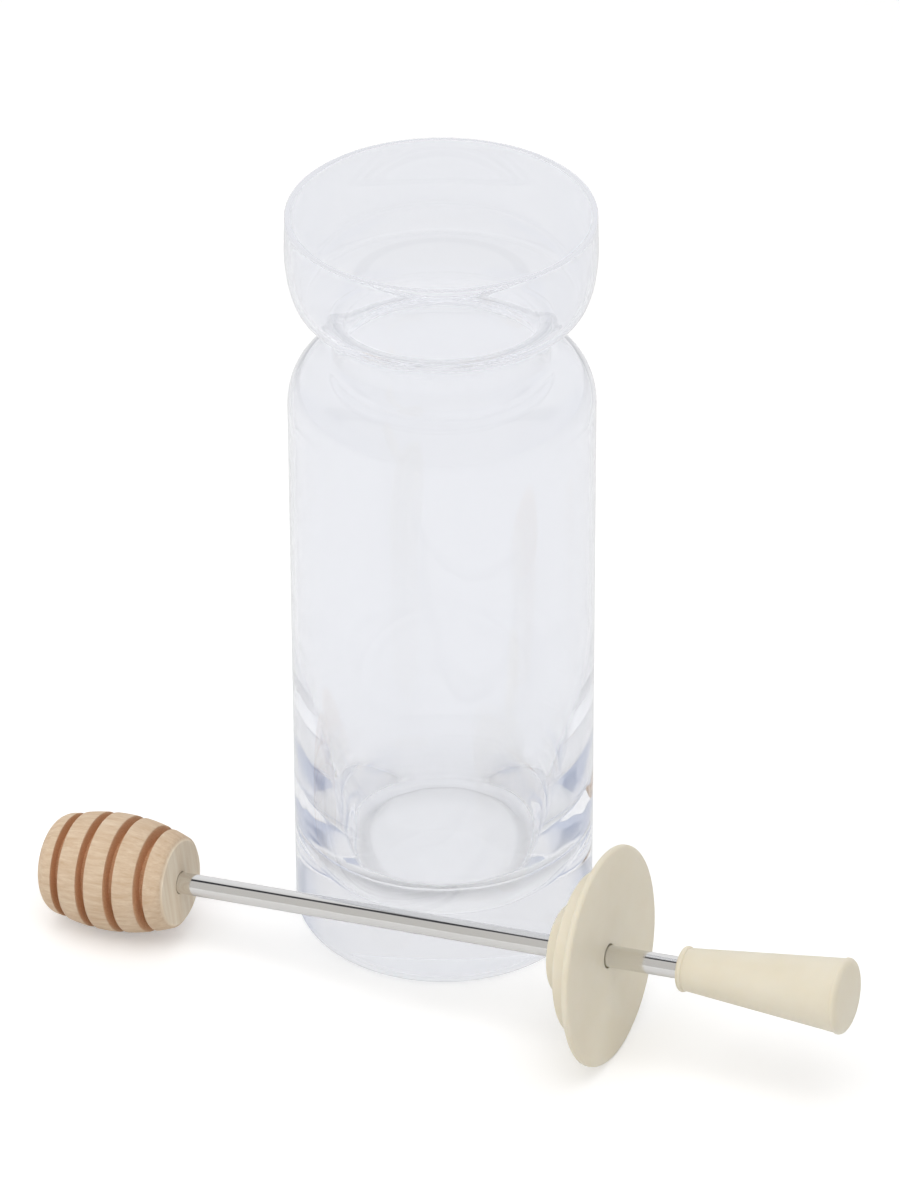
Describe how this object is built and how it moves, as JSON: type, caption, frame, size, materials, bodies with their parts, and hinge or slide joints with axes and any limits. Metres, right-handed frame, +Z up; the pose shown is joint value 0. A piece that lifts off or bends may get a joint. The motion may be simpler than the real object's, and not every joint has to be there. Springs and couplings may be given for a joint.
{
  "type": "glass honey jar",
  "caption": "Tall clear glass jar with a thick base, narrow waist and open collar, with its lid on the steel stem of a wooden honey dipper lying beside it.",
  "frame": {"origin": "centre of the jar's flat base, on the surface that it stands on", "axes": "+Z up along the jar's axis; the dipper with the lid lies on the -Y side, its head towards -X and its handle towards +X"},
  "size_m": [0.2028, 0.1335, 0.2006],
  "materials": {
    "jar_glass": "clear, smooth, faintly cool blown glass",
    "head_wood": "bare pale beech, darker where the grooves were cut",
    "stem_steel": "polished stainless steel",
    "lid_plastic": "cream plastic with a satin sheen",
    "handle_plastic": "cream plastic with a satin sheen"
  },
  "bodies": {
    "root": {"glass_jar": "jar_glass", "dipper_head": "head_wood", "stem": "stem_steel", "lid": "lid_plastic", "handle": "handle_plastic"}
  },
  "joints": []
}
